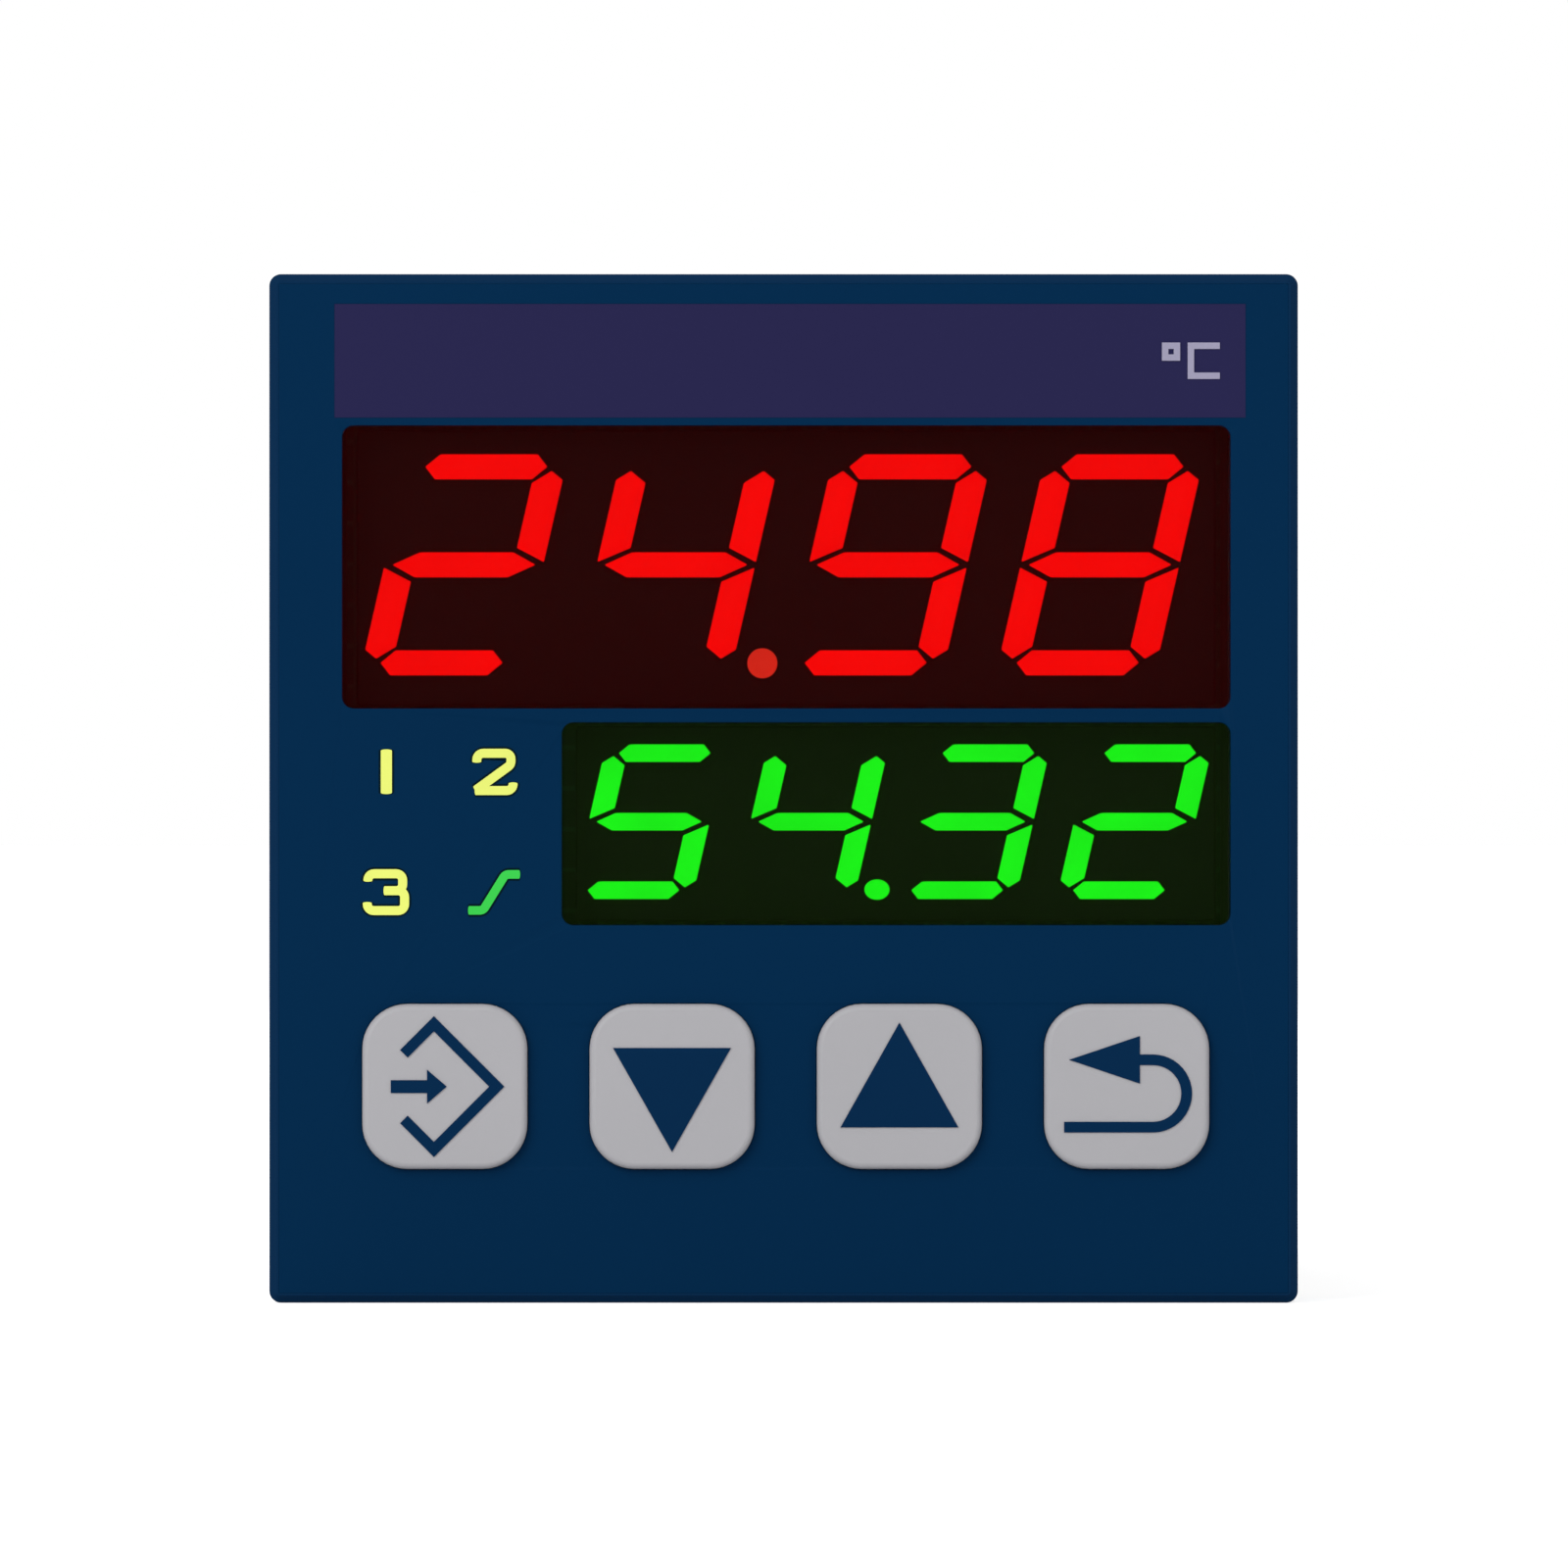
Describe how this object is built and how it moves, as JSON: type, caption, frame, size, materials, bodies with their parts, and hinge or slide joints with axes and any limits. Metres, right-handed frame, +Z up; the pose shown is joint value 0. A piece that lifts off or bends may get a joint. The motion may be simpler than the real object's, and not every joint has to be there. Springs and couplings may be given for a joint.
{
  "type": "pid temperature controller",
  "caption": "Square panel temperature controller with two lit number displays, sprung keys, a sliding rear mounting frame and pull-off screw terminal plugs.",
  "frame": {"origin": "centre of the panel plane, on the rear face of the gasket", "axes": "+Y from the front through the panel to the terminals, +X to the right seen from the front, +Z up"},
  "size_m": [0.048, 0.0987, 0.048],
  "materials": {
    "bezel_plastic": "satin",
    "film_print": "satin",
    "band_print": "satin",
    "mark_print": "satin",
    "red_window": "gloss",
    "green_window": "gloss",
    "yellow_lens": "satin",
    "ramp_lens": "satin",
    "clear_acrylic": "gloss",
    "led_body": "satin",
    "key_plastic": "satin",
    "symbol_print": "satin",
    "plunger_plastic": "matte",
    "switch_plastic": "matte",
    "red_module": "matte",
    "green_module": "matte",
    "red_lit": "satin",
    "red_dark": "satin",
    "green_lit": "satin",
    "green_dark": "satin",
    "circuit_board": "satin",
    "black_plastic": "matte",
    "chip_plastic": "matte",
    "crystal_can": "satin",
    "relay_plastic": "satin",
    "ferrite": "matte",
    "winding_tape": "satin",
    "capacitor_sleeve": "satin",
    "case_plastic": "matte",
    "gasket_rubber": "matte",
    "frame_plastic": "satin",
    "spring_steel": "satin",
    "terminal_plastic": "satin",
    "tinned_brass": "satin",
    "screw_steel": "satin"
  },
  "bodies": {
    "controller": {"front_bezel": "bezel_plastic", "front_film": "film_print", "header_band": "band_print", "unit_mark": "mark_print", "indicator_1": "yellow_lens", "indicator_2": "yellow_lens", "indicator_3": "yellow_lens", "ramp_indicator": "ramp_lens", "upper_window": "red_window", "lower_window": "green_window", "light_pipe": "clear_acrylic", "indicator_leds": "led_body", "key_switches": "switch_plastic", "upper_display": "red_module", "lower_display": "green_module", "upper_lit_segments": "red_lit", "upper_dark_segments": "red_dark", "lower_lit_segments": "green_lit", "lower_dark_segments": "green_dark", "display_board": "circuit_board", "controller_board": "circuit_board", "power_board": "circuit_board", "board_links": "black_plastic", "processor_chip": "chip_plastic", "quartz_crystal": "crystal_can", "output_relays": "relay_plastic", "transformer_core": "ferrite", "transformer_coil": "winding_tape", "smoothing_capacitor": "capacitor_sleeve", "optocouplers": "chip_plastic", "case": "case_plastic", "panel_gasket": "gasket_rubber", "terminal_header_right": "black_plastic", "terminal_header_left": "black_plastic", "header_pins_right": "tinned_brass", "header_pins_left": "tinned_brass"},
    "enter_button": {"enter_key": "key_plastic", "enter_symbol": "symbol_print", "enter_plunger": "plunger_plastic"},
    "down_button": {"down_key": "key_plastic", "down_symbol": "symbol_print", "down_plunger": "plunger_plastic"},
    "up_button": {"up_key": "key_plastic", "up_symbol": "symbol_print", "up_plunger": "plunger_plastic"},
    "return_button": {"return_key": "key_plastic", "return_symbol": "symbol_print", "return_plunger": "plunger_plastic"},
    "mounting_collar": {"mounting_frame": "frame_plastic", "latch_spring_right": "spring_steel", "latch_spring_left": "spring_steel"},
    "plug_left": {"terminal_plug_left": "terminal_plastic", "terminal_screws_left": "screw_steel", "wire_clamps_left": "tinned_brass"},
    "plug_right": {"terminal_plug_right": "terminal_plastic", "terminal_screws_right": "screw_steel", "wire_clamps_right": "tinned_brass"}
  },
  "joints": [
    {"name": "enter_press", "type": "slide", "parent": "controller", "child": "enter_button", "axis": [0, 1, 0], "range_m": [0, 0.0005], "stiffness_N_per_m": 1000, "springref_m": -0.0003},
    {"name": "down_press", "type": "slide", "parent": "controller", "child": "down_button", "axis": [0, 1, 0], "range_m": [0, 0.0005], "stiffness_N_per_m": 1000, "springref_m": -0.0003},
    {"name": "up_press", "type": "slide", "parent": "controller", "child": "up_button", "axis": [0, 1, 0], "range_m": [0, 0.0005], "stiffness_N_per_m": 1000, "springref_m": -0.0003},
    {"name": "return_press", "type": "slide", "parent": "controller", "child": "return_button", "axis": [0, 1, 0], "range_m": [0, 0.0005], "stiffness_N_per_m": 1000, "springref_m": -0.0003},
    {"name": "frame_slide", "type": "slide", "parent": "controller", "child": "mounting_collar", "axis": [0, 1, 0], "range_m": [-0.005, 0.085], "deforming": ["latch_spring_right", "latch_spring_left"]},
    {"name": "plug_left_pull", "type": "slide", "parent": "controller", "child": "plug_left", "axis": [0, 1, 0], "range_m": [0, 0.012]},
    {"name": "plug_right_pull", "type": "slide", "parent": "controller", "child": "plug_right", "axis": [0, 1, 0], "range_m": [0, 0.012]}
  ]
}
